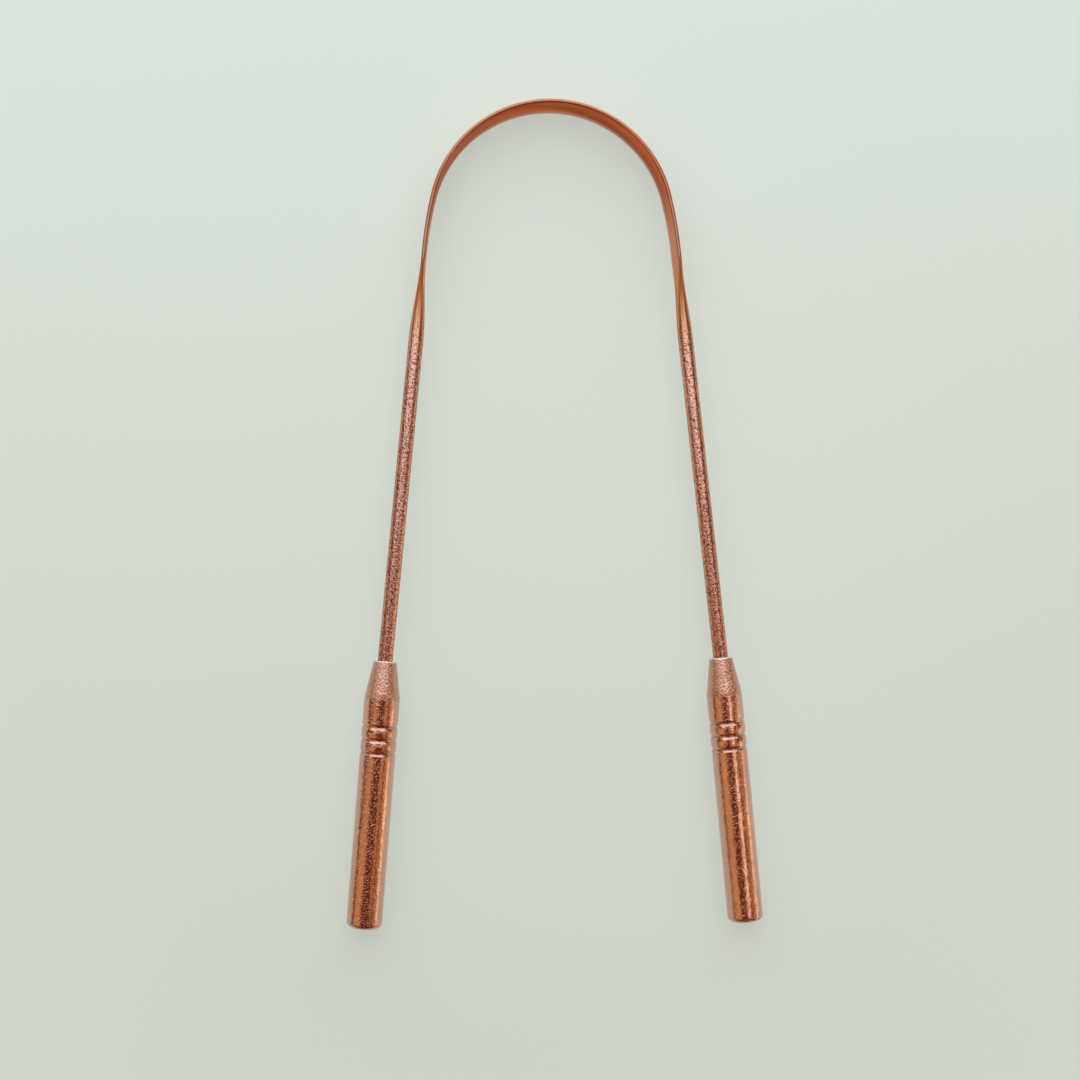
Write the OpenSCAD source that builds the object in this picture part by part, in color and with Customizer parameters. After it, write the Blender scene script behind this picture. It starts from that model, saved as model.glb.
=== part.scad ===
// Bent copper scraper: one rod, rolled flat in the middle and bent to a bow, with a turned
// bar handle pressed on each end. It lies flat, crown towards +Y, handles towards -Y.

/* [Rod and blade] */
// Diameter of the drawn rod
rod_d = 2.5; // [1.8:0.1:3.4]
// Thickness of the blade that is rolled into the middle of the rod
blade_t = 0.7; // [0.4:0.05:1.4]
// Width of the blade, from one scraping edge to the other
blade_w = 7.2; // [4:0.1:12]
// Length of full blade that runs on past the bends, down each arm
flat_run = 1; // [0.5:0.5:12]
// Length over which the blade swells back into round rod
taper_len = 13.8; // [6:0.2:30]

/* [Bow] */
// Radius of the crown, to the middle of the blade's thickness
crown_r = 20.2; // [14:0.1:32]
// Turn of the crown on each side of its middle, in degrees
crown_turn = 76.5; // [60:0.5:79]
// Radius of the wider bend that leads from the crown into each arm
shoulder_r = 70; // [35:1:120]
// Splay of each arm from the middle line, in degrees
arm_splay = 5.9; // [3:0.1:9]
// Length of round rod in each arm, from its blade's taper to its handle's mouth
arm_len = 54; // [20:0.5:90]
// Angle by which each handle turns in from the line of its arm, in degrees
neck_bend = 0.9; // [0.3:0.1:2.5]

/* [Handles] */
// Diameter of the bar that each handle is turned from
handle_d = 6; // [5:0.1:9]
// Length of each handle, from its mouth to its rounded end
handle_len = 44.6; // [34:0.1:80]
// Width of the flat ring at the mouth, where the rod goes in
mouth_rim = 0.5; // [0.3:0.05:0.7]
// Length of the cone from the mouth to the full bar
cone_len = 6.3; // [3:0.1:12]
// Radius that rounds over the handle's end
end_round = 0.9; // [0.3:0.1:2]
// Number of grooves round each handle
groove_count = 3; // [1:1:4]
// Distance from the cone to the middle of the first groove
groove_start = 4.6; // [1:0.1:10]
// Distance from one groove to the next
groove_pitch = 2.2; // [1.2:0.1:2.6]
// Width of a groove at the handle's surface
groove_w = 0.8; // [0.4:0.1:1]
// Depth of a groove
groove_depth = 0.15; // [0.1:0.05:0.4]

/* [Press fit] */
// Depth of the drilled hole in each handle, to the foot of its straight wall
bore_depth = 20; // [10:0.5:26]
// Space between the rod and the wall of the hole
bore_clearance = 0.02; // [0.01:0.01:0.05]
// Space between the rod's end and the foot of the hole
bore_end_gap = 0.2; // [0:0.1:1]
// Amount by which the rod's radius is drawn down where it goes into the hole
shank_ease = 0.01; // [0.01:0.01:0.05]
// Width of the bevel that opens the hole's mouth
mouth_bevel = 0.15; // [0.05:0.05:0.2]

/* [Hidden] */
$fn = 96;

polished_copper = "#b8694c";
turned_copper = "#b3623f";

// Turn from one ring of a shoulder to the next at most, rings along a taper, corners round each ring
ring_turn = 2;
taper_rings = 16;
corners = 32;
// Step from the flat facets of a taper up to the true rounds of the crown and the rod
facet_inset = 0.005;
// How far a taper reaches into the crown and into the rod, so that all are one metal
seam_lap = 0.3;
// How far the drawn-down end of the rod reaches back into the full rod at the mouth
shank_lap = 0.1;
// How far a cut runs past the face that it opens
overrun = 0.5;
// Full angle of the drill's point
drill_angle = 118;

function arc_step(r, from, to) = r * [sin(to) - sin(from), cos(to) - cos(from)];
function straight_step(length, heading) = length * [cos(heading), -sin(heading)];

// A heading is the clockwise turn of the centre line since the middle of the crown
arm_heading = 90 - arm_splay;
handle_heading = arm_heading + neck_bend;
shoulder_rings = ceil((arm_heading - crown_turn) / ring_turn);

// Places where the centre line of the right half passes from one stretch to the next
crown_end = arc_step(crown_r, 0, crown_turn);
shoulder_end = crown_end + arc_step(shoulder_r, crown_turn, arm_heading);
flat_end = shoulder_end + straight_step(flat_run, arm_heading);
taper_end = flat_end + straight_step(taper_len, arm_heading);
mouth = taper_end + straight_step(arm_len, arm_heading);

shank_r = rod_d / 2 - shank_ease;
shank_len = bore_depth - bore_end_gap;
bore_r = rod_d / 2 + bore_clearance;
mouth_r = bore_r + mouth_bevel + mouth_rim;
handle_r = handle_d / 2;
round_r = handle_r - end_round;

// The frame's origin is below the middle of the whole outline, level with the lowest edge
handle_reach = (handle_len - end_round) * sin(handle_heading) + round_r * cos(handle_heading) + end_round;
middle_y = (blade_t / 2 + mouth[1] - handle_reach) / 2;
lift = max(blade_w, handle_d) / 2;

// Area of a flat bar of thickness t and width w with full-round edges
function bar_area(t, w) = PI / 4 * t * t + t * (w - t);
function between(low, high, share) = low + (high - low) * share;
function ease(share) = share * share * (3 - 2 * share);

// Thickness and width at a share of the way along the taper, from blade to rod
function taper_t(share) = between(blade_t, rod_d, ease(share));
function taper_area(share) = between(bar_area(blade_t, blade_w), bar_area(rod_d, rod_d), ease(share));
function taper_w(share) =
    let (t = taper_t(share))
    t + (taper_area(share) - bar_area(t, t)) / t;

// Stations of the right arm from the crown's end to the round rod: place, heading, taper share
function crown_station(turn) = [arc_step(crown_r, 0, turn), turn, 0];
function shoulder_station(turn) = [crown_end + arc_step(shoulder_r, crown_turn, turn), turn, 0];
function arm_station(run, share) = [flat_end + straight_step(run, arm_heading), arm_heading, share];
function turn_of(length, r) = length / r * 180 / PI;
stations = [
    crown_station(crown_turn - turn_of(seam_lap, crown_r)),
    shoulder_station(crown_turn + turn_of(seam_lap, shoulder_r)),
    for (k = [1 : shoulder_rings])
        shoulder_station(between(crown_turn, arm_heading, k / shoulder_rings)),
    for (k = [0 : taper_rings]) arm_station(taper_len * k / taper_rings, k / taper_rings),
    arm_station(taper_len + 2 * seam_lap, 1)
];

// Corner number i of the ring at a station: a flat bar with full-round edges
function ring_corner(station, i) =
    let (
        place = station[0],
        heading = station[1],
        share = station[2],
        angle = (i + 0.5) * 360 / corners,
        edge_r = taper_t(share) / 2 - facet_inset,
        out = edge_r * cos(angle),
        up = edge_r * sin(angle) + sign(sin(angle)) * (taper_w(share) - taper_t(share)) / 2
    )
    [place[0] + out * sin(heading), place[1] + out * cos(heading), up];

// Puts its children at a place on the centre line, with their x along the rod
module at_place(place, heading) {
    translate([place[0], place[1], 0]) rotate([0, 0, -heading]) children();
}

module blade_section() {
    square([blade_t, blade_w - blade_t], center = true);
    for (side = [-1, 1])
        translate([0, side * (blade_w - blade_t) / 2]) circle(d = blade_t);
}

// The shoulder and the stretch below it where the blade's flat section swells into round rod
module taper() {
    points = [for (station = stations, i = [0 : corners - 1]) ring_corner(station, i)];
    last_ring = len(stations) - 1;
    crown_face = [for (i = [0 : corners - 1]) i];
    rod_face = [for (i = [corners - 1 : -1 : 0]) last_ring * corners + i];
    sides = [
        for (k = [0 : last_ring - 1], i = [0 : corners - 1])
        let (a = k * corners + i, b = k * corners + (i + 1) % corners)
        each [[b, a, a + corners], [b, a + corners, b + corners]]
    ];
    polyhedron(points, concat([crown_face, rod_face], sides));
}

// Round rod along x from one place to another
module rod(r, from, to) {
    translate([from, 0, 0]) rotate([0, 90, 0]) cylinder(r = r, h = to - from);
}

module right_arm() {
    taper();
    at_place(mouth, arm_heading) rod(rod_d / 2, seam_lap - arm_len, 0);
    at_place(mouth, handle_heading) rod(shank_r, -shank_lap, shank_len);
}

// One drawn rod: shank, arm, blade, arm and shank
module bow() {
    color(polished_copper) translate([0, -middle_y, lift]) {
        translate([0, -crown_r, 0])
            rotate([0, 0, 90 - crown_turn])
                rotate_extrude(angle = 2 * crown_turn)
                    translate([crown_r, 0]) blade_section();
        right_arm();
        mirror([1, 0, 0]) right_arm();
    }
}

// Half of the handle's lengthwise section: x is its radius, y its distance from the mouth
module handle_profile() {
    polygon([
        [0, 0],
        [mouth_r, 0],
        [handle_r, cone_len],
        [handle_r, handle_len - end_round],
        [0, handle_len - end_round]
    ]);
    translate([0, handle_len - 2 * end_round]) square([round_r, 2 * end_round]);
    translate([round_r, handle_len - end_round]) circle(end_round);
}

module handle_bar() {
    groove_r = (pow(groove_w / 2, 2) + pow(groove_depth, 2)) / (2 * groove_depth);
    drill_point = bore_r / tan(drill_angle / 2);
    rotate([0, 90, 0]) difference() {
        rotate_extrude() handle_profile();
        for (k = [0 : groove_count - 1])
            translate([0, 0, cone_len + groove_start + k * groove_pitch])
                rotate_extrude() translate([handle_r - groove_depth + groove_r, 0]) circle(groove_r);
        translate([0, 0, -overrun]) cylinder(r = bore_r, h = bore_depth + overrun);
        translate([0, 0, bore_depth]) cylinder(r1 = bore_r, r2 = 0, h = drill_point);
        translate([0, 0, -overrun])
            cylinder(r1 = bore_r + mouth_bevel + overrun, r2 = bore_r, h = mouth_bevel + overrun);
    }
}

module right_handle() {
    color(turned_copper) translate([0, -middle_y, lift]) at_place(mouth, handle_heading) handle_bar();
}

module left_handle() {
    color(turned_copper) mirror([1, 0, 0]) translate([0, -middle_y, lift])
        at_place(mouth, handle_heading) handle_bar();
}

bow();
left_handle();
right_handle();
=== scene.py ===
import math

import bmesh
import bpy
from bpy.props import FloatProperty, FloatVectorProperty, IntProperty, PointerProperty
from mathutils import Matrix, Quaternion, Vector


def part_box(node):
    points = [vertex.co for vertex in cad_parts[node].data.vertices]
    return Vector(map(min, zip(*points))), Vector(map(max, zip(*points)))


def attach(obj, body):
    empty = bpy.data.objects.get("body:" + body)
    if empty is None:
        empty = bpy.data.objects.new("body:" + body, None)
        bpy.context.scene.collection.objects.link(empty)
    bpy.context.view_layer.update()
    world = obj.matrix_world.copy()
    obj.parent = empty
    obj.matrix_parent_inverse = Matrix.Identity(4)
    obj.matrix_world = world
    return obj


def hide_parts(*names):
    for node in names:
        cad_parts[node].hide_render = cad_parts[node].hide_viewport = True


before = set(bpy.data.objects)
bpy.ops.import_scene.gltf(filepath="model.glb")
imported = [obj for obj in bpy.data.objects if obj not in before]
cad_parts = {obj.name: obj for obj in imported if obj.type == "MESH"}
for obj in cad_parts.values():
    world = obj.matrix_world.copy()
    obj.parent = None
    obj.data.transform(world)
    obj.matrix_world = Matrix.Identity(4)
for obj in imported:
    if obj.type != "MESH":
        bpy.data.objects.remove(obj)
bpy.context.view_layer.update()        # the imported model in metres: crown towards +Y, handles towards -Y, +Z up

bl_info = {
    "name": "Tongue scraper",
    "version": (1, 0, 0),
    "blender": (4, 5, 0),
    "location": "3D View > Sidebar > Scraper",
    "description": "Models a bent copper tongue scraper with two turned handles, and its stage",
    "category": "Object",
}

MM = 0.001
# Places closer than this, in metres, count as one
HAIR = 0.001 * MM

# The bow lies in a level plane, and its blade stands on edge across it
MID_PLANE = (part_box("bow")[0].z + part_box("bow")[1].z) / 2
CROWN_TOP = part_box("bow")[1].y

# How finely the pieces are cut. The rod has two corners more than a multiple of four, so that none
# lies on the blade's flats.
ROD_CORNERS, BAR_CORNERS, FLOOR_CORNERS = 66, 112, 96
CROWN_STEPS, SHOULDER_STEPS, TAPER_STEPS, ARM_STEPS, NECK_STEPS = 56, 8, 32, 18, 2
CONE_STEPS, GROOVE_STEPS, BAR_STEPS, ROUND_STEPS, END_STEPS = 6, 10, 5, 12, 4
# Folds sharper than these stay crisp
ROD_CREASE, BAR_CREASE = math.radians(40), math.radians(24)

# Where the bow's finish changes on the straightened rod, in millimetres: the first two along it
# from the crown's middle, the painted reflection of the floor down from the middle plane, and the rims both ways
# from it
PALER_FROM, PALER_TO = 26, 34
GOLDEN_FROM, GOLDEN_TO = 36, 43
PAINTED_REFLECTION_FROM, PAINTED_REFLECTION_TO = -1.2, -3.3
RIM_FROM, RIM_TO = 3.3, 3.5
# How far each handle's pattern is moved along its bar, in metres: left and right go opposite ways,
# so that the two differ
PATTERN_STEP = 0.2


def linear(hex_colour):
    """An sRGB hex colour as linear red, green, blue and alpha."""
    shares = [int(hex_colour[i:i + 2], 16) / 255 for i in (1, 3, 5)]
    return [s / 12.92 if s <= 0.04045 else ((s + 0.055) / 1.055) ** 2.4 for s in shares] + [1.0]


def length(name, description, mm):
    """A length in metres with its default given in millimetres."""
    return FloatProperty(name=name, description=description, default=mm * MM, min=0,
                         unit="LENGTH", precision=5)


def place_of(name, description, mm):
    """A place in metres with its default given in millimetres."""
    return FloatVectorProperty(name=name, description=description,
                               default=[v * MM for v in mm], unit="LENGTH")


def angle(name, description, degrees):
    return FloatProperty(name=name, description=description, default=math.radians(degrees),
                         subtype="ANGLE")


def share(name, description, default):
    return FloatProperty(name=name, description=description, default=default, min=0, max=1,
                         subtype="FACTOR")


def colour(name, description, hex_colour):
    return FloatVectorProperty(name=name, description=description, subtype="COLOR", size=4,
                               min=0, max=1, default=linear(hex_colour))


class ScraperBow(bpy.types.PropertyGroup):
    rod_d: length("Rod", "Diameter of the drawn rod", 2.5)
    blade_t: length("Blade thickness", "Thickness of the rolled blade", 0.7)
    blade_w: length("Blade width", "Width of the blade, from one scraping edge to the other", 7.2)
    flat_run: length("Flat run", "Length of full blade that runs on past the bends", 1)
    taper_len: length("Taper", "Length over which the blade swells back into round rod", 13.8)
    crown_r: length("Crown radius", "Radius of the crown, to the middle of the blade's thickness",
                    20.2)
    crown_turn: angle("Crown turn", "Turn of the crown on each side of its middle", 76.5)
    shoulder_r: length("Shoulder radius", "Radius of the wider bend into each arm", 70)
    arm_splay: angle("Arm splay", "Splay of each arm from the middle line", 5.9)
    arm_len: length("Arm", "Length of round rod from the taper to the handle's mouth", 54)
    neck_bend: angle("Neck bend", "Angle by which each handle turns in from its arm", 0.9)
    shank_len: length("Shank", "Length of rod that is pressed into the handle", 19.8)
    shank_ease: length("Shank ease",
                       "Amount by which the rod's radius is drawn down in the handle", 0.01)


class ScraperHandle(bpy.types.PropertyGroup):
    handle_d: length("Bar", "Diameter of the bar that each handle is turned from", 6)
    handle_len: length("Length", "Length of each handle, from its mouth to its rounded end", 44.6)
    bore_d: length("Hole", "Diameter of the drilled hole that takes the rod", 2.54)
    bore_depth: length("Hole depth", "Depth of the hole, to the foot of its straight wall", 20)
    drill_angle: angle("Drill point", "Full angle of the drill's point", 118)
    mouth_bevel: length("Mouth bevel", "Width of the bevel that opens the hole's mouth", 0.15)
    mouth_rim: length("Mouth rim", "Width of the flat ring round the mouth", 0.5)
    cone_len: length("Cone", "Length of the cone from the mouth to the full bar", 6.3)
    end_round: length("End round", "Radius that rounds over the handle's end", 0.9)
    groove_count: IntProperty(name="Grooves", description="Number of grooves round each handle",
                              default=3, min=0)
    groove_start: length("First groove", "Distance from the cone to the middle of the first groove",
                         4.6)
    groove_pitch: length("Groove pitch", "Distance from one groove to the next", 2.2)
    groove_w: length("Groove width", "Width of a groove at the handle's surface", 0.8)
    groove_depth: length("Groove depth", "Depth of a groove", 0.15)
    edge_break: length("Edge break", "Width of the small break along each turned edge", 0.07)
    scribe_depth: length("Scribe", "Depth of the line that the tool leaves where the cone ends",
                         0.02)


class ScraperCopper(bpy.types.PropertyGroup):
    rod_colour: colour("Rod", "Drawn copper of the rod", "#e2ad96")
    blade_colour: colour("Blade", "Rolled and polished copper of the blade", "#d2683a")
    # Pink and pale colour painted towards the blade's lower edge: a painted reflection of the pale floor
    painted_reflection_colour: colour("Worn edge", "Rubbed copper, pinker and paler, by the edge that scrapes",
                        "#f4c6c8")
    rim_colour: colour("Blade rims", "Duller copper of the blade's two edges", "#a87459")
    taper_colour: colour("Tapers", "Copper of the two tapers, left golden where they were swaged",
                         "#dd9c66")
    bow_tint: colour("Bow's glancing tint", "Tint of the bow where it is seen at a glancing angle",
                     "#f6c8b6")
    handle_colour: colour("Handles", "Turned copper of the handles", "#dfa98b")
    # Near-white colour painted on the rim at each handle's mouth: a painted highlight
    mouth_highlight_colour: colour("Rubbed mouth", "Bright copper of the rim at each handle's mouth",
                         "#fff0ec")
    handle_tint: colour("Handles' glancing tint",
                        "Tint of the handles where they are seen at a glancing angle", "#fbe2ff")
    # Brown of the real tarnish in the grooves, which is also painted as shade in the pits of the grain on the rod
    # and the cones
    tarnish_and_shade_colour: colour("Tarnish", "Brown that is left where nothing rubs", "#6a2c1c")
    rod_grain: length("Rod grain", "Width of the fine pits that drawing and tumbling leave on the "
                      "rod and the cones, drawn wider than they are, to show", 0.27)
    rod_relief: length("Rod relief", "Depth of the rod's grain", 0.09)
    rod_clouds: length("Rod clouds", "Width of the soft changes of tone on the rod", 3)
    blade_patches: length("Blade patches", "Width of the darker patches on the blade", 5)
    blade_lines: length("Blade lines", "Width of the faint lines that rolling leaves", 0.12)
    bar_mottle: length("Bar mottle", "Width of the soft dimples that polishing leaves on the bar",
                       0.6)
    bar_relief: length("Bar relief", "Depth of the bar's dimples", 0.17)
    bar_clouds: length("Bar clouds", "Width of the soft changes of tone on the bar", 2.5)
    bar_pits: length("Bar pits", "Width of the small pits in the bar, which glint", 0.31)
    turning_pitch: length("Turning marks", "Distance between the turning marks, drawn wider than "
                          "they are, to show", 0.22)


class ScraperStage(bpy.types.PropertyGroup):
    floor_colour: colour("Floor", "Colour of the plain floor and the background", "#dee8dd")
    floor_size: length("Floor size", "Width of the floor", 6000)
    fade_from: length("Fade from", "Distance from the middle at which the floor starts to fade", 90)
    fade_to: length("Fade to", "Distance from the middle at which the floor is all background", 350)
    floor_even: share("Evenness", "Share of the background in the floor under the piece", 0.58)
    dim_colour: colour("Surroundings", "Dim warm light from above and all round, which the copper "
                       "mirrors between the lamps", "#6c3626")
    camera_place: place_of("Camera", "Place of the camera, from the bow's plane up",
                           (-18, -4.88, 270))
    camera_aim: place_of("Aim", "Place in the bow's plane that the camera points at",
                         (-5.79, -4.32, 0))
    camera_roll: angle("Camera roll", "Turn of the camera about its line of sight", -0.437)
    sensor: FloatProperty(name="Sensor", description="Width of the camera's sensor in millimetres",
                          default=36, unit="CAMERA")
    lens: FloatProperty(name="Lens", description="Focal length of the lens in millimetres",
                        default=53.6, unit="CAMERA")
    lens_shift: share("Lens shift", "Share of its width by which the picture is cut from the right",
                      0.02)


def out_of(heading):
    """Level direction out of the bow at a heading, the clockwise turn since the crown's middle."""
    return Vector((math.sin(heading), math.cos(heading), 0))


def down_line(heading):
    return Vector((math.cos(heading), -math.sin(heading), 0))


def bend(place, start, end, radius):
    """Where a bend that starts at place with one heading comes to the other."""
    return place + radius * (out_of(end) - out_of(start))


def centre_line(bow):
    """Places and headings along the right half's centre line, from the crown's middle to the
    mouth."""
    arm = math.pi / 2 - bow.arm_splay
    crown = Vector((0, CROWN_TOP - bow.blade_t / 2, MID_PLANE))
    crown_end = bend(crown, 0, bow.crown_turn, bow.crown_r)
    shoulder_end = bend(crown_end, bow.crown_turn, arm, bow.shoulder_r)
    flat_end = shoulder_end + bow.flat_run * down_line(arm)
    taper_end = flat_end + bow.taper_len * down_line(arm)
    mouth = taper_end + bow.arm_len * down_line(arm)
    return {"arm": arm, "handle": arm + bow.neck_bend, "crown": crown, "crown_end": crown_end,
            "shoulder_end": shoulder_end, "flat_end": flat_end, "mouth": mouth}


def ease(t):
    return t * t * (3 - 2 * t)


def held_in(low, value, high):
    return min(high, max(low, value))


def start_ring(name, radius, place, direction, corners):
    """A new piece that starts as one open ring, in edit mode with the ring picked."""
    bpy.ops.object.select_all(action="DESELECT")
    turn = direction.to_track_quat("Z", "Y").to_euler()
    bpy.ops.mesh.primitive_circle_add(vertices=corners, radius=radius, location=place,
                                      rotation=turn)
    piece = bpy.context.object
    piece.name = piece.data.name = name
    bpy.ops.object.transform_apply(location=True, rotation=True, scale=True)
    bpy.ops.object.mode_set(mode="EDIT")
    bpy.ops.mesh.select_mode(type="VERT")
    bpy.ops.mesh.select_all(action="SELECT")
    return piece


def picked(piece):
    return {v.index for v in bmesh.from_edit_mesh(piece.data).verts if v.select}


def pick(piece, wanted):
    """Picks the vertices whose number is in a set, or whose place passes a test, and no others."""
    mesh = bmesh.from_edit_mesh(piece.data)
    for v in mesh.verts:
        v.select_set(wanted(v.co) if callable(wanted) else v.index in wanted)
    mesh.select_flush_mode()
    bmesh.update_edit_mesh(piece.data)


def draw_on(step):
    bpy.ops.mesh.extrude_region_move(TRANSFORM_OT_translate={"value": step})


def grow(factor, centre):
    bpy.ops.transform.resize(value=(factor, factor, factor), center_override=centre)


def part_halves(piece, shift):
    """Moves the upper half of the picked ring up and its lower half down, which widens the bar."""
    mesh = bmesh.from_edit_mesh(piece.data)
    ring = picked(piece)
    upper = {v.index for v in mesh.verts if v.select and v.co.z > MID_PLANE}
    for half, side in ((upper, 1), (ring - upper, -1)):
        pick(piece, half)
        bpy.ops.transform.translate(value=(0, 0, side * shift))
    pick(piece, ring)


def wind(place, heading, radius, turn, steps):
    """Spins the picked ring clockwise about the middle of a bend of that radius."""
    middle = place - radius * out_of(heading)
    bpy.ops.mesh.spin(steps=steps, angle=turn, center=middle, axis=(0, 0, 1))


def close_end():
    """Closes the picked ring with a fan to its middle."""
    draw_on((0, 0, 0))
    bpy.ops.mesh.merge(type="CENTER")


def apply_modifier(piece, kind, **settings):
    modifier = piece.modifiers.new(kind.title(), kind)
    for name, value in settings.items():
        setattr(modifier, name, value)
    bpy.ops.object.modifier_apply(modifier=modifier.name)


def face_outwards():
    bpy.ops.object.mode_set(mode="EDIT")
    bpy.ops.mesh.select_all(action="SELECT")
    bpy.ops.mesh.normals_make_consistent(inside=False)
    bpy.ops.object.mode_set(mode="OBJECT")


def finish_surface(piece, sharp_from):
    """Smooth shading that keeps true edges crisp and flat faces flat."""
    face_outwards()
    bpy.ops.object.shade_smooth_by_angle(angle=sharp_from)
    apply_modifier(piece, "WEIGHTED_NORMAL", keep_sharp=True, weight=100)


def mark(piece, name, values):
    """Keeps a number or a place for each vertex, which the finish reads."""
    is_place = isinstance(values[0], Vector)
    attribute = piece.data.attributes.new(name, "FLOAT_VECTOR" if is_place else "FLOAT", "POINT")
    for held, value in zip(attribute.data, values):
        setattr(held, "vector" if is_place else "value", value)


def seat(piece, node, finish):
    piece.data.materials.clear()
    piece.data.materials.append(finish)
    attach(piece, "root")
    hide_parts(node)


COLOUR_MIX = {"data_type": "RGBA"}


def add(tree, kind, settings=None, **inputs):
    """Adds a node with its settings, and sets or links its inputs. Only sockets in use count: an
    input is named, with _ for a space, or numbered, with _ before the number, and a node stands for
    its first output."""
    node = tree.nodes.new(kind)
    for name, value in (settings or {}).items():
        setattr(node, name, value)
    in_use = [s for s in node.inputs if s.enabled]
    named = {s.name.replace(" ", "_"): s for s in in_use}
    for name, value in inputs.items():
        socket = in_use[int(name[1:])] if name[0] == "_" else named[name]
        if isinstance(value, bpy.types.Node):
            value = next(s for s in value.outputs if s.enabled)
        if isinstance(value, bpy.types.NodeSocket):
            tree.links.new(value, socket)
        else:
            socket.default_value = value
    return node


def new_finish(name):
    finish = bpy.data.materials.new(name)
    finish.use_nodes = True
    finish.node_tree.nodes.clear()
    return finish, finish.node_tree


def laid_out(tree, along_stretch, across_stretch=1.0):
    """Millimetres on the straightened bar, divided by a stretch along the bar and one across it."""
    held = add(tree, "ShaderNodeAttribute", {"attribute_name": "straightened"})
    across = 1 / MM / across_stretch
    return add(tree, "ShaderNodeVectorMath", {"operation": "MULTIPLY"}, _0=held.outputs["Vector"],
               _1=(across, 1 / MM / along_stretch, across))


def shaded(shade, colour_value):
    return [c * shade for c in colour_value[:3]] + [1.0]


def drawn_copper(copper):
    """Copper rod, drawn and tumbled, with its middle rolled flat and polished. Drawing and tumbling leave a fine
    sparkling grain on the round rod, and its pits are painted dark brown, a painted shade that gives the grain
    its sparkle. Rolling presses that out, so the blade is satin and a deeper red-brown, with faint lines along it
    and darker patches. It is paler towards the shoulders and duller on its rims, and towards its lower edge it is
    painted pink and pale, a painted reflection of the pale floor. The tapers are smooth and golden. The grain is
    drawn coarser than the real one, to show."""
    finish, tree = new_finish("Copper rod, drawn, with rolled blade")
    clouds = add(tree, "ShaderNodeTexNoise", Vector=laid_out(tree, 4),
                 Scale=MM / copper.rod_clouds, Detail=3)
    tone = add(tree, "ShaderNodeMapRange", Value=clouds, From_Min=0.3, From_Max=0.7)
    rod = add(tree, "ShaderNodeMix", COLOUR_MIX, Factor=tone,
              A=shaded(0.94, copper.rod_colour), B=shaded(1.14, copper.rod_colour))
    grain = add(tree, "ShaderNodeTexNoise", Vector=laid_out(tree, 1.3),
                Scale=MM / copper.rod_grain, Detail=2, Roughness=0.6)
    # The grain's pits are painted dark brown: painted shade that gives the rod's grain its sparkle
    pits = add(tree, "ShaderNodeMapRange", Value=grain, From_Min=0.38, From_Max=0.5,
               To_Min=0.85, To_Max=0)
    rod = add(tree, "ShaderNodeMix", COLOUR_MIX, Factor=pits, A=rod, B=copper.tarnish_and_shade_colour)

    patches = add(tree, "ShaderNodeTexNoise", Vector=laid_out(tree, 4),
                  Scale=MM / copper.blade_patches, Detail=4)
    patch = add(tree, "ShaderNodeMapRange", Value=patches, From_Min=0.34, From_Max=0.62)
    blade = add(tree, "ShaderNodeMix", COLOUR_MIX, Factor=patch,
                A=shaded(0.52, copper.blade_colour), B=shaded(1.12, copper.blade_colour))
    place = add(tree, "ShaderNodeSeparateXYZ", Vector=laid_out(tree, 1))
    from_crown = add(tree, "ShaderNodeMath", {"operation": "ABSOLUTE"}, _0=place.outputs["Y"])
    paler = add(tree, "ShaderNodeMapRange", Value=from_crown, From_Min=PALER_FROM,
                From_Max=PALER_TO, To_Max=0.8)
    blade = add(tree, "ShaderNodeMix", COLOUR_MIX, Factor=paler, A=blade, B=copper.rod_colour)
    golden = add(tree, "ShaderNodeMapRange", Value=from_crown, From_Min=GOLDEN_FROM,
                 From_Max=GOLDEN_TO, To_Max=0.85)
    blade = add(tree, "ShaderNodeMix", COLOUR_MIX, Factor=golden, A=blade, B=copper.taper_colour)

    rolled = add(tree, "ShaderNodeAttribute", {"attribute_name": "rolled"}).outputs["Fac"]
    body = add(tree, "ShaderNodeMix", COLOUR_MIX, Factor=rolled, A=rod, B=blade)
    # The blade is painted pinker and paler towards its lower edge: a painted reflection of the pale floor
    painted_reflection = add(tree, "ShaderNodeMapRange", Value=place.outputs["Z"], From_Min=PAINTED_REFLECTION_FROM,
               From_Max=PAINTED_REFLECTION_TO, To_Max=0.9)
    body = add(tree, "ShaderNodeMix", COLOUR_MIX, Factor=painted_reflection, A=body, B=copper.painted_reflection_colour)
    from_middle = add(tree, "ShaderNodeMath", {"operation": "ABSOLUTE"}, _0=place.outputs["Z"])
    rim = add(tree, "ShaderNodeMapRange", Value=from_middle, From_Min=RIM_FROM, From_Max=RIM_TO,
              To_Max=0.85)
    base = add(tree, "ShaderNodeMix", COLOUR_MIX, Factor=rim, A=body, B=copper.rim_colour)

    lines = add(tree, "ShaderNodeTexNoise", Vector=laid_out(tree, 30),
                Scale=MM / copper.blade_lines, Detail=2)
    relief = add(tree, "ShaderNodeMix", Factor=rolled, A=grain, B=lines)
    depth = add(tree, "ShaderNodeMapRange", Value=rolled, To_Min=1, To_Max=0.06)
    bump = add(tree, "ShaderNodeBump", Height=relief, Strength=depth, Distance=copper.rod_relief)
    rod_rough = add(tree, "ShaderNodeMapRange", Value=grain, From_Min=0.36, From_Max=0.6,
                    To_Min=0.30, To_Max=0.12)
    blade_rough = add(tree, "ShaderNodeMapRange", Value=lines, From_Min=0.3, From_Max=0.7,
                      To_Min=0.30, To_Max=0.40)
    rough = add(tree, "ShaderNodeMix", Factor=rolled, A=rod_rough, B=blade_rough)
    shader = add(tree, "ShaderNodeBsdfPrincipled", Base_Color=base, Metallic=1.0, Roughness=rough,
                 Specular_Tint=copper.bow_tint, Normal=bump)
    add(tree, "ShaderNodeOutputMaterial", Surface=shader)
    return finish


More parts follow.
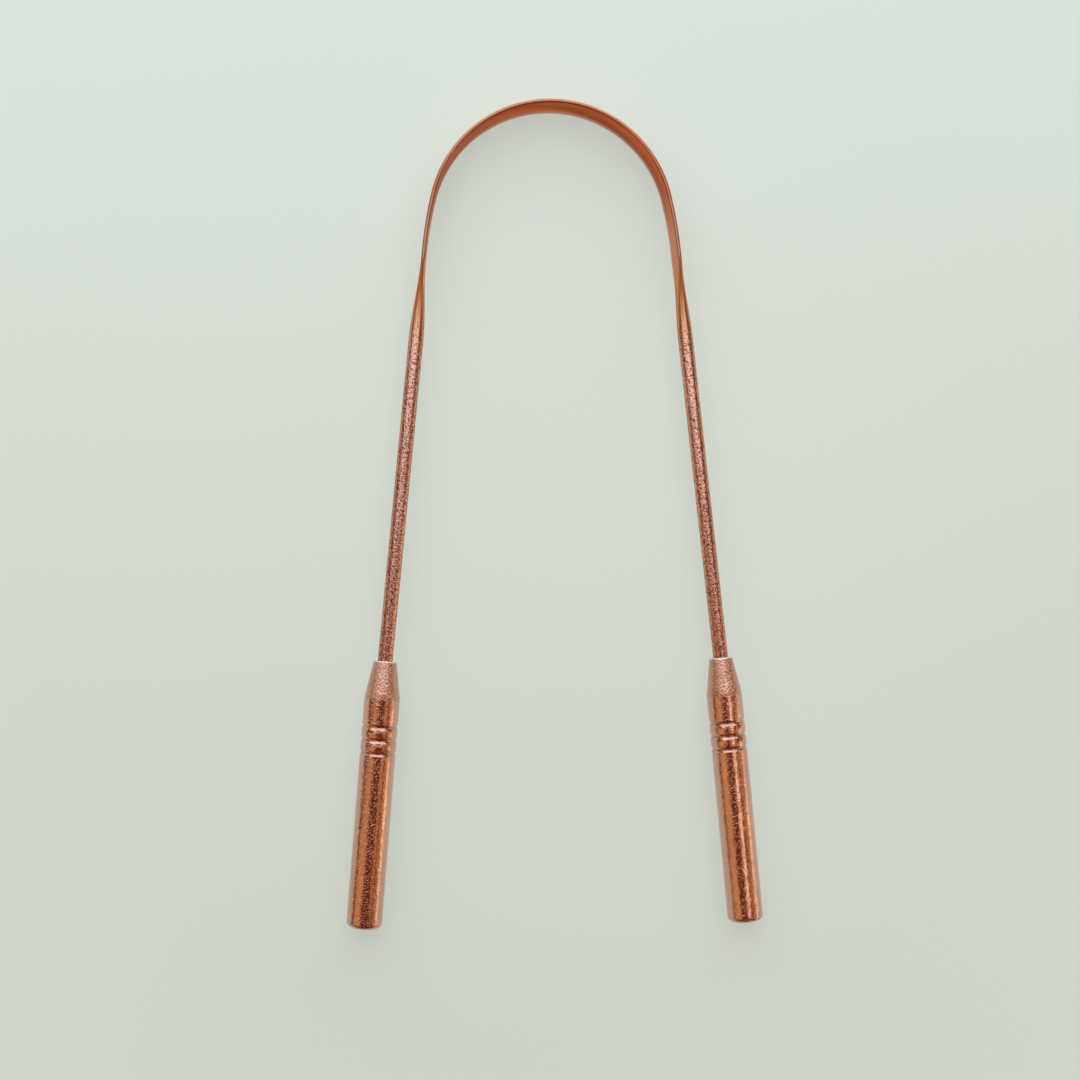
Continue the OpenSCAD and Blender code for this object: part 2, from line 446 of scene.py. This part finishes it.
def turned_copper(copper):
    """Copper bar, turned, lightly polished and lacquered. The tool leaves faint rings round it, and polishing
    leaves soft dimples, so each reflection has a ragged edge, with small pits that glint. The cone is only
    tumbled, and keeps a fine sparkling grain, with painted shade as dark specks in its pits. Brown tarnish stays
    in the grooves, and the rim at the mouth is painted near white, a painted highlight. The lacquer's shine makes
    the flanks paler. The rings and the grain are drawn coarser than the real ones, to show."""
    finish, tree = new_finish("Copper bar, turned, polished and lacquered")
    groove, rim, cone = (add(tree, "ShaderNodeAttribute", {"attribute_name": name}).outputs["Fac"]
                         for name in ("groove", "rim", "cone"))
    clouds = add(tree, "ShaderNodeTexNoise", Vector=laid_out(tree, 5),
                 Scale=MM / copper.bar_clouds, Detail=3)
    tone = add(tree, "ShaderNodeMapRange", Value=clouds, From_Min=0.3, From_Max=0.7)
    base = add(tree, "ShaderNodeMix", COLOUR_MIX, Factor=tone,
               A=shaded(0.88, copper.handle_colour), B=shaded(1.06, copper.handle_colour))
    stain = add(tree, "ShaderNodeMapRange", Value=groove, To_Max=0.25)
    base = add(tree, "ShaderNodeMix", COLOUR_MIX, Factor=stain, A=base, B=copper.tarnish_and_shade_colour)
    # The rim at the mouth is painted near white: a painted highlight
    base = add(tree, "ShaderNodeMix", COLOUR_MIX, Factor=rim, A=base, B=copper.mouth_highlight_colour)
    grain = add(tree, "ShaderNodeTexNoise", Vector=laid_out(tree, 1.3),
                Scale=MM / copper.rod_grain, Detail=2, Roughness=0.6)
    # The cone's grain gets dark brown specks in its pits: painted shade that gives the cone its sparkle
    cone_speck_shade = add(tree, "ShaderNodeMapRange", Value=grain, From_Min=0.4, From_Max=0.5,
               To_Min=0.3, To_Max=0)
    cone_speck_shade = add(tree, "ShaderNodeMath", {"operation": "MULTIPLY"}, _0=cone_speck_shade, _1=cone)
    base = add(tree, "ShaderNodeMix", COLOUR_MIX, Factor=cone_speck_shade, A=base, B=copper.tarnish_and_shade_colour)

    mottle = add(tree, "ShaderNodeTexNoise", Vector=laid_out(tree, 1.5),
                 Scale=MM / copper.bar_mottle, Detail=3, Roughness=0.55)
    specks = add(tree, "ShaderNodeTexNoise", Vector=laid_out(tree, 1.2),
                 Scale=MM / copper.bar_pits, Detail=1)
    pits = add(tree, "ShaderNodeMapRange", Value=specks, From_Min=0.55, From_Max=0.61, To_Max=0.45)
    dimpled = add(tree, "ShaderNodeMath", {"operation": "SUBTRACT"}, _0=mottle, _1=pits)
    rings = add(tree, "ShaderNodeTexNoise", Vector=laid_out(tree, 1, 2.9),
                Scale=MM / copper.turning_pitch, Detail=2)
    barrel = add(tree, "ShaderNodeMix", Factor=0.25, A=dimpled, B=rings)
    relief = add(tree, "ShaderNodeMix", Factor=cone, A=barrel, B=grain)
    depth = add(tree, "ShaderNodeMapRange", Value=cone, To_Min=0.6, To_Max=1.0)
    bump = add(tree, "ShaderNodeBump", Height=relief, Strength=depth, Distance=copper.bar_relief)
    rough = add(tree, "ShaderNodeMapRange", Value=mottle, From_Min=0.3, From_Max=0.7,
                To_Min=0.13, To_Max=0.24)
    shader = add(tree, "ShaderNodeBsdfPrincipled", Base_Color=base, Metallic=1.0, Roughness=rough,
                 Specular_Tint=copper.handle_tint, Coat_Weight=1.0, Coat_Roughness=0.12,
                 Normal=bump)
    add(tree, "ShaderNodeOutputMaterial", Surface=shader)
    return finish


def matt_floor(stage):
    """Board, painted matt: plain, pale and even, with the piece's shadow round it and no shine. Far
    away it fades into the background."""
    finish, tree = new_finish("Board, painted matt")
    path = add(tree, "ShaderNodeLightPath")
    seen = path.outputs["Is Camera Ray"]
    for kind in ("Is Glossy Ray", "Is Transmission Ray"):
        seen = add(tree, "ShaderNodeMath", {"operation": "MAXIMUM"}, _0=seen,
                   _1=path.outputs[kind])
    place = add(tree, "ShaderNodeTexCoord").outputs["Object"]
    away = add(tree, "ShaderNodeVectorMath", {"operation": "LENGTH"}, _0=place)
    fade = add(tree, "ShaderNodeMapRange", Value=away, From_Min=stage.fade_from,
               From_Max=stage.fade_to, To_Min=stage.floor_even, To_Max=1)
    even = add(tree, "ShaderNodeMath", {"operation": "MULTIPLY"}, _0=seen, _1=fade)
    paint = add(tree, "ShaderNodeBsdfDiffuse", Color=stage.floor_colour)
    glow = add(tree, "ShaderNodeEmission", Color=stage.floor_colour, Strength=1.0)
    both = add(tree, "ShaderNodeMixShader", _0=even, _1=paint, _2=glow)
    add(tree, "ShaderNodeOutputMaterial", Surface=both)
    return finish


class SCRAPER_OT_bow(bpy.types.Operator):
    """Model the bow: one rod, rolled flat in the middle and bent to a U"""
    bl_idname = "scraper.bow"
    bl_label = "Add the bow"
    bl_options = {"REGISTER", "UNDO"}

    def execute(self, context):
        bow = context.scene.scraper_bow
        line = centre_line(bow)
        piece = start_ring("bow_rod", bow.blade_t / 2, line["crown"], Vector((1, 0, 0)),
                           ROD_CORNERS)
        part_halves(piece, (bow.blade_w - bow.blade_t) / 2)
        wind(line["crown"], 0, bow.crown_r, bow.crown_turn, CROWN_STEPS)
        wind(line["crown_end"], bow.crown_turn, bow.shoulder_r, line["arm"] - bow.crown_turn,
             SHOULDER_STEPS)
        along = down_line(line["arm"])
        draw_on(bow.flat_run * along)
        self.swell(piece, bow, line, along)
        for _ in range(ARM_STEPS):
            draw_on(bow.arm_len / ARM_STEPS * along)
        wind(line["mouth"], line["arm"], bow.rod_d, bow.neck_bend, NECK_STEPS)
        self.press_in(bow, line)
        bpy.ops.object.mode_set(mode="OBJECT")
        apply_modifier(piece, "MIRROR", use_axis=(True, False, False), merge_threshold=HAIR)
        finish_surface(piece, ROD_CREASE)
        self.mark_rod(piece, bow, line)
        seat(piece, "bow", drawn_copper(context.scene.scraper_copper))
        return {"FINISHED"}

    @staticmethod
    def bar_area(t, w):
        """Area of a flat bar of thickness t and width w with full-round edges."""
        return math.pi / 4 * t * t + t * (w - t)

    def swell(self, piece, bow, line, along):
        """Draws the blade out into round rod, ring by ring, its area passing evenly into the
        rod's."""
        flat_area = self.bar_area(bow.blade_t, bow.blade_w)
        rod_area = self.bar_area(bow.rod_d, bow.rod_d)
        t, half = bow.blade_t, (bow.blade_w - bow.blade_t) / 2
        for k in range(1, TAPER_STEPS + 1):
            s = ease(k / TAPER_STEPS)
            next_t = bow.blade_t + (bow.rod_d - bow.blade_t) * s
            area = flat_area + (rod_area - flat_area) * s
            next_half = (area - self.bar_area(next_t, next_t)) / next_t / 2
            draw_on(bow.taper_len / TAPER_STEPS * along)
            grow(next_t / t, line["flat_end"] + bow.taper_len * k / TAPER_STEPS * along)
            part_halves(piece, next_half - half * next_t / t)
            t, half = next_t, next_half

    def press_in(self, bow, line):
        """Draws the rod on into the handle, a little thinner, with a bevelled cut end."""
        inward = down_line(line["handle"])
        slim = 1 - bow.shank_ease / (bow.rod_d / 2)
        bevel = bow.rod_d / 10
        draw_on((0, 0, 0))
        grow(slim, line["mouth"])
        draw_on((bow.shank_len - bevel) * inward)
        draw_on(bevel * inward)
        grow(1 - 2 * bevel / bow.rod_d, line["mouth"] + bow.shank_len * inward)
        close_end()

    def mark_rod(self, piece, bow, line):
        """Keeps where each point lies on the straight rod, and how much the rolling shows there: it
        is as smooth as the blade to the taper's middle, and the grain has come back soon after."""
        straight = [self.straighten(bow, line, v.co) for v in piece.data.vertices]
        smooth = self.bent_length(bow, line) + bow.flat_run + bow.taper_len / 2
        fade = 0.7 * bow.taper_len
        mark(piece, "straightened", straight)
        mark(piece, "rolled", [1 - ease(held_in(0, (abs(s.y) - smooth) / fade, 1))
                               for s in straight])

    @staticmethod
    def bent_length(bow, line):
        return bow.crown_r * bow.crown_turn + bow.shoulder_r * (line["arm"] - bow.crown_turn)

    def straighten(self, bow, line, place):
        """Where a point of the bow lies on the straight rod: across, along from the middle, up."""
        side = -1 if place.x < 0 else 1
        p = Vector((abs(place.x), place.y, 0))
        flat = Vector((1, 1, 0))
        crown_middle = line["crown"] * flat - bow.crown_r * out_of(0)
        shoulder_middle = line["crown_end"] * flat - bow.shoulder_r * out_of(bow.crown_turn)
        turn = math.atan2(p.x - crown_middle.x, p.y - crown_middle.y)
        if turn <= bow.crown_turn:
            across, along = (p - crown_middle).length - bow.crown_r, bow.crown_r * turn
        else:
            turn = math.atan2(p.x - shoulder_middle.x, p.y - shoulder_middle.y)
            if turn <= line["arm"]:
                across = (p - shoulder_middle).length - bow.shoulder_r
                along = bow.crown_r * bow.crown_turn + bow.shoulder_r * (turn - bow.crown_turn)
            else:
                step = p - line["shoulder_end"] * flat
                across = step.dot(out_of(line["arm"]))
                along = self.bent_length(bow, line) + step.dot(down_line(line["arm"]))
        return Vector((across, side * along, place.z - MID_PLANE))


class SCRAPER_OT_handles(bpy.types.Operator):
    """Turn the two handles: cone, grooves and rounded end, drilled for the rod"""
    bl_idname = "scraper.handles"
    bl_label = "Add the handles"
    bl_options = {"REGISTER", "UNDO"}

    def execute(self, context):
        handle, line = context.scene.scraper_handle, centre_line(context.scene.scraper_bow)
        mouth, axis = line["mouth"], down_line(line["handle"])
        foot = mouth + handle.bore_depth * axis
        right = start_ring("right_handle_bar", handle.bore_d / 2, foot, axis, BAR_CORNERS)
        draw_on(handle.bore_d / 2 / math.tan(handle.drill_angle / 2) * axis)
        bpy.ops.mesh.merge(type="CENTER")
        pick(right, lambda co: abs((co - foot).dot(axis)) < HAIR)
        self.turn_bar(handle, mouth, axis)
        bpy.ops.object.mode_set(mode="OBJECT")
        bpy.ops.object.duplicate()
        left = context.object
        left.name = left.data.name = "left_handle_bar"
        bpy.ops.transform.resize(value=(-1, 1, 1), center_override=(0, 0, 0))
        bpy.ops.object.transform_apply(location=True, rotation=True, scale=True)
        finish = turned_copper(context.scene.scraper_copper)
        for piece, node, side in ((left, "left_handle", -1), (right, "right_handle", 1)):
            bpy.ops.object.select_all(action="DESELECT")
            piece.select_set(True)
            context.view_layer.objects.active = piece
            finish_surface(piece, BAR_CREASE)
            self.mark_bar(piece, handle, mouth, axis, side)
            seat(piece, node, finish)
        return {"FINISHED"}

    @staticmethod
    def groove_middles(handle):
        first = handle.cone_len + handle.groove_start
        return [first + k * handle.groove_pitch for k in range(handle.groove_count)]

    def profile(self, handle):
        """Stations of the turned outline from the mouth of the hole: distance along, radius."""
        bore_r, bar_r, small = handle.bore_d / 2, handle.handle_d / 2, handle.edge_break
        mouth_r = bore_r + handle.mouth_bevel + handle.mouth_rim
        cone = handle.cone_len
        slope = (bar_r - mouth_r) / cone
        rub = 1.6 * small    # the mouth's edge is rubbed further than the others
        rows = [(handle.mouth_bevel, bore_r), (0, bore_r + handle.mouth_bevel), (0, mouth_r - rub)]
        cone_stations = [rub, 4 * small] + [cone * k / CONE_STEPS for k in range(1, CONE_STEPS)]
        rows += [(at, mouth_r + slope * at) for at in cone_stations]
        rows += [(cone - small, bar_r - small * slope), (cone, bar_r - handle.scribe_depth),
                 (cone + small, bar_r)]
        for middle in self.groove_middles(handle):
            rows += self.groove(handle, middle)
        last, plain_end = rows[-1][0], handle.handle_len - handle.end_round
        rows += [(last + (plain_end - last) * k / BAR_STEPS, bar_r)
                 for k in range(1, BAR_STEPS + 1)]
        for k in range(1, ROUND_STEPS + 1):
            turn = math.pi / 2 * k / ROUND_STEPS
            rows.append((plain_end + handle.end_round * math.sin(turn),
                         bar_r - handle.end_round * (1 - math.cos(turn))))
        rows += [(handle.handle_len, (bar_r - handle.end_round) * k / END_STEPS)
                 for k in range(END_STEPS - 1, 0, -1)]
        return rows

    @staticmethod
    def groove(handle, middle):
        """Stations of one groove, a shallow round hollow with small rubbed lips."""
        bar_r, half, deep = handle.handle_d / 2, handle.groove_w / 2, handle.groove_depth
        round_r = (half ** 2 + deep ** 2) / (2 * deep)
        lip, sink = handle.edge_break / 2, handle.edge_break / 5
        rows = [(middle - half - lip, bar_r), (middle - half, bar_r - sink)]
        for k in range(1, GROOVE_STEPS):
            x = -half + handle.groove_w * k / GROOVE_STEPS
            rows.append((middle + x, bar_r - deep + round_r - math.sqrt(round_r ** 2 - x * x)))
        return rows + [(middle + half, bar_r - sink), (middle + half + lip, bar_r)]

    def turn_bar(self, handle, mouth, axis):
        """Draws the picked ring from the hole's foot out over the mouth and down the whole bar."""
        at, radius = handle.bore_depth, handle.bore_d / 2
        for next_at, next_radius in self.profile(handle):
            draw_on((next_at - at) * axis)
            if next_radius != radius:
                grow(next_radius / radius, mouth + next_at * axis)
            at, radius = next_at, next_radius
        close_end()

    def mark_bar(self, piece, handle, mouth, axis, side):
        """Keeps where each point lies on the bar, and where the grooves, rim and cone are."""
        flip = Vector((side, 1, 1))
        across = out_of(math.atan2(-axis.y, axis.x))
        steps = [v.co * flip - mouth for v in piece.data.vertices]
        places = [Vector((s.dot(across), s.dot(axis), s.z)) for s in steps]
        bar_r, bore_r = handle.handle_d / 2, handle.bore_d / 2
        reach = handle.groove_w / 2 + handle.edge_break
        radii = [math.hypot(p.x, p.z) for p in places]

        def in_groove(p, r):
            near = any(abs(p.y - middle) <= reach for middle in self.groove_middles(handle))
            return held_in(0, (bar_r - r) / handle.groove_depth, 1) if near else 0.0

        def in_rim(p, r):
            return float(p.y < 2 * handle.edge_break and r > bore_r + 10 * HAIR)

        mark(piece, "straightened", [p + Vector((0, side * PATTERN_STEP, 0)) for p in places])
        mark(piece, "groove", [in_groove(p, r) for p, r in zip(places, radii)])
        mark(piece, "rim", [in_rim(p, r) for p, r in zip(places, radii)])
        mark(piece, "cone", [float(p.y < handle.cone_len + 10 * HAIR) for p in places])


COOL = "#e4f4ff"
# Soft lamps, in millimetres, which shine straight down where no aim is given. Cool softboxes hang
# level over the piece, from the handles' mouths to far past the crown, with a gap for the camera,
# and one stands far behind the crown. Warm panels are at both sides of the handles, with a pale
# softbox low at the far right. A lamp with a narrow beam puts the fine streak on the right handle,
# and a dim warm panel beside it fills in.
LAMPS = {
    "softbox_over": dict(place=(-75, 260, 260), across=690, along=360, level=1.5, tint=COOL),
    "softbox_left": dict(place=(-140, 35, 260), across=100, along=90, level=1.5, tint=COOL),
    "strip_left": dict(place=(-170, -25, 260), across=200, along=30, level=0.75, tint="#fff0e4"),
    "softbox_middle": dict(place=(-30, 55, 260), across=120, along=50, level=1.5, tint=COOL),
    "softbox_right": dict(place=(100, 40, 260), across=140, along=80, level=1.5, tint=COOL),
    "softbox_behind": dict(place=(0, 750, 250), aim=(0, 0, 0), across=1400, along=480,
                           level=2.8, tint="#e6f5ff"),
    "panel_left": dict(place=(-270, -150, 220), aim=(0, -50, 0), across=270, along=200,
                       level=0.58, tint="#ffd493"),
    "panel_right": dict(place=(270, -130, 165), aim=(0, -50, 0), across=85, along=180,
                        level=0.5, tint="#ffc47a"),
    "softbox_low": dict(place=(490, -160, 95), aim=(0, -50, 0), across=150, along=240,
                        level=1.4, tint="#fff6e4"),
    "lamp_over": dict(place=(113, -83, 200), aim=(33, -50, 0), across=55, along=140,
                      level=2.5, tint="#fff4f0", spread=26),
    "panel_over": dict(place=(120, -83, 205), across=120, along=160, level=0.3, tint="#ffca88"),
}
# Height of a mirrored direction, where 1 is straight up, at which the pale background has faded out
HORIZON = 0.06


class SCRAPER_OT_stage(bpy.types.Operator):
    """Lay the floor, hang the soft lamps and set the camera"""
    bl_idname = "scraper.stage"
    bl_label = "Set the stage"
    bl_options = {"REGISTER", "UNDO"}

    def execute(self, context):
        scene, stage = context.scene, context.scene.scraper_stage
        self.lay_floor(stage)
        self.light_world(scene, stage)
        for name, lamp in LAMPS.items():
            self.hang(name, **lamp)
        self.set_camera(scene, stage)
        scene.view_settings.view_transform = "Standard"
        return {"FINISHED"}

    @staticmethod
    def lay_floor(stage):
        bpy.ops.object.select_all(action="DESELECT")
        bpy.ops.mesh.primitive_circle_add(vertices=FLOOR_CORNERS, radius=stage.floor_size / 2,
                                          fill_type="NGON", location=(0, 0, 0))
        floor = bpy.context.object
        floor.name = floor.data.name = "floor"
        floor.data.materials.append(matt_floor(stage))

    @staticmethod
    def light_world(scene, stage):
        """A pale background, which metal mirrors near the horizon, and dim brown above it."""
        world = bpy.data.worlds.new("Studio")
        world.use_nodes = True
        scene.world = world
        tree = world.node_tree
        tree.nodes.clear()
        direction = add(tree, "ShaderNodeTexCoord").outputs["Generated"]
        height = add(tree, "ShaderNodeSeparateXYZ", Vector=direction).outputs["Z"]
        low = add(tree, "ShaderNodeMapRange", Value=height, From_Min=0, From_Max=HORIZON,
                  To_Min=1, To_Max=0)
        path = add(tree, "ShaderNodeLightPath")
        seen = add(tree, "ShaderNodeMath", {"operation": "MULTIPLY"},
                   _0=path.outputs["Is Glossy Ray"], _1=low)
        for kind in ("Is Camera Ray", "Is Transmission Ray"):
            seen = add(tree, "ShaderNodeMath", {"operation": "MAXIMUM"}, _0=seen,
                       _1=path.outputs[kind])
        dim = add(tree, "ShaderNodeBackground", Color=stage.dim_colour, Strength=1.0)
        pale = add(tree, "ShaderNodeBackground", Color=stage.floor_colour, Strength=1.0)
        both = add(tree, "ShaderNodeMixShader", _0=seen, _1=dim, _2=pale)
        add(tree, "ShaderNodeOutputWorld", Surface=both)

    @staticmethod
    def hang(name, place, across, along, level, tint, aim=None, spread=180):
        """Hangs a soft lamp that looks as bright as level, where 1 is white, its length along Y and
        its beam as wide as spread, in degrees."""
        place = Vector(place) * MM
        aim = Vector(aim) * MM if aim else Vector((place.x, place.y, 0))
        data = bpy.data.lights.new(name, "AREA")
        data.shape = "RECTANGLE"
        data.size, data.size_y = across * MM, along * MM
        data.spread = math.radians(spread)
        half = data.spread / 2
        gathered = 1 - half / math.tan(half)    # a narrow beam is brighter at the same power
        data.energy = level * math.pi * data.size * data.size_y * gathered
        data.color = linear(tint)[:3]
        lamp = bpy.data.objects.new(name, data)
        bpy.context.scene.collection.objects.link(lamp)
        back = (place - aim).normalized()
        sideways = Vector((0, 1, 0)).cross(back).normalized()
        turn = Matrix((sideways, back.cross(sideways), back)).transposed()
        lamp.matrix_world = Matrix.Translation(place) @ turn.to_4x4()
        lamp.visible_camera = False

    @staticmethod
    def set_camera(scene, stage):
        data = bpy.data.cameras.new("camera")
        data.sensor_width, data.lens, data.shift_x = stage.sensor, stage.lens, stage.lens_shift
        data.clip_start, data.clip_end = 0.01, 20
        camera = bpy.data.objects.new("camera", data)
        scene.collection.objects.link(camera)
        plane = Vector((0, 0, MID_PLANE))
        place, aim = Vector(stage.camera_place) + plane, Vector(stage.camera_aim) + plane
        roll = Quaternion((0, 0, 1), stage.camera_roll)
        turn = Vector((0, 0, -1)).rotation_difference(aim - place) @ roll
        camera.matrix_world = Matrix.Translation(place) @ turn.to_matrix().to_4x4()
        scene.camera = camera


class SCRAPER_PT_panel(bpy.types.Panel):
    bl_idname = "SCRAPER_PT_panel"
    bl_label = "Tongue scraper"
    bl_space_type = "VIEW_3D"
    bl_region_type = "UI"
    bl_category = "Scraper"

    def draw(self, context):
        layout, scene = self.layout, context.scene
        for operator, group in (("scraper.bow", scene.scraper_bow),
                                ("scraper.handles", scene.scraper_handle),
                                (None, scene.scraper_copper),
                                ("scraper.stage", scene.scraper_stage)):
            box = layout.box()
            for name in group.__annotations__:
                box.prop(group, name)
            if operator:
                box.operator(operator)


GROUPS = {"scraper_bow": ScraperBow, "scraper_handle": ScraperHandle,
          "scraper_copper": ScraperCopper, "scraper_stage": ScraperStage}
CLASSES = (*GROUPS.values(), SCRAPER_OT_bow, SCRAPER_OT_handles, SCRAPER_OT_stage,
           SCRAPER_PT_panel)


def register():
    for cls in CLASSES:
        bpy.utils.register_class(cls)
    for name, group in GROUPS.items():
        setattr(bpy.types.Scene, name, PointerProperty(type=group))


def unregister():
    for name in GROUPS:
        delattr(bpy.types.Scene, name)
    for cls in reversed(CLASSES):
        bpy.utils.unregister_class(cls)


def main():
    register()
    bpy.ops.scraper.bow()
    bpy.ops.scraper.handles()
    bpy.ops.scraper.stage()


if __name__ == "__main__":
    main()
